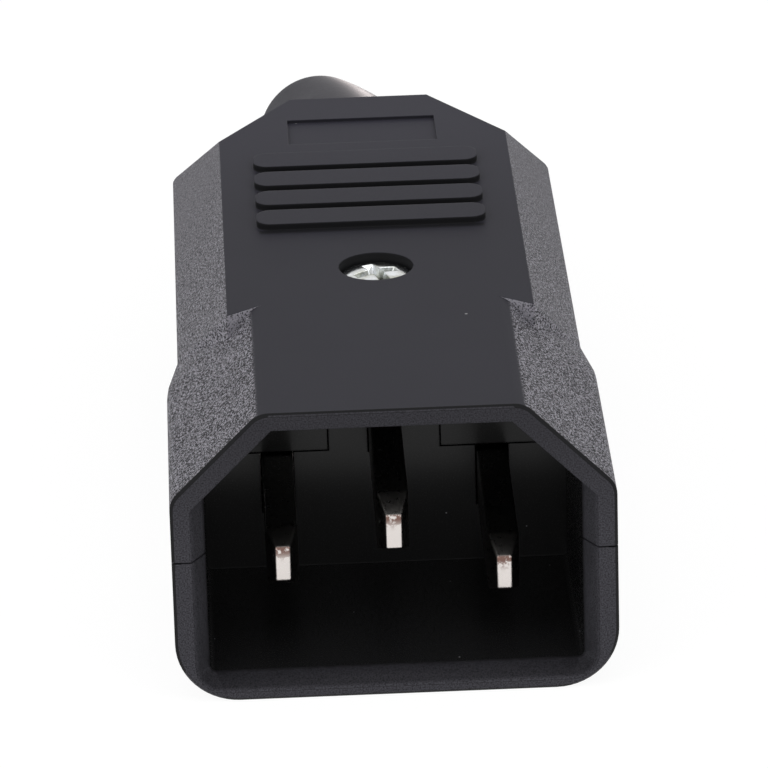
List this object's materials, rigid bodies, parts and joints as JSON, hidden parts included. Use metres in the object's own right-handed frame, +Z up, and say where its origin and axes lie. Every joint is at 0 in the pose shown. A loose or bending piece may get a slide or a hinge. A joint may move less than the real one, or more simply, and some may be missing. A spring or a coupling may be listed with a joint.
{
  "type": "iec power plug",
  "caption": "Rewirable inline mains plug: flat pins in a deep shroud, a bevelled two-part housing with finger ribs, and a soft strain relief for the cord.",
  "frame": {"origin": "centre of the shroud's mouth, on the plane in which the two halves of the housing part", "axes": "+X across the pins to the right seen from the mouth, +Y from the mouth back to the strain relief, +Z up from the flat bottom to the ribs"},
  "size_m": [0.028, 0.0817, 0.02],
  "materials": {
    "housing": "moulded, fine grain",
    "contact": "nickel plated",
    "screw": "zinc plated",
    "clamp": "moulded",
    "boot": "soft satin"
  },
  "bodies": {
    "root": {"upper_housing": "housing", "lower_housing": "housing", "line_pin": "contact", "neutral_pin": "contact", "earth_pin": "contact", "line_terminal_screw": "screw", "neutral_terminal_screw": "screw", "earth_terminal_screw": "screw", "housing_screw": "screw", "cord_clamp_bar": "clamp", "left_clamp_screw": "screw", "right_clamp_screw": "screw", "cord_boot": "boot"}
  },
  "joints": []
}
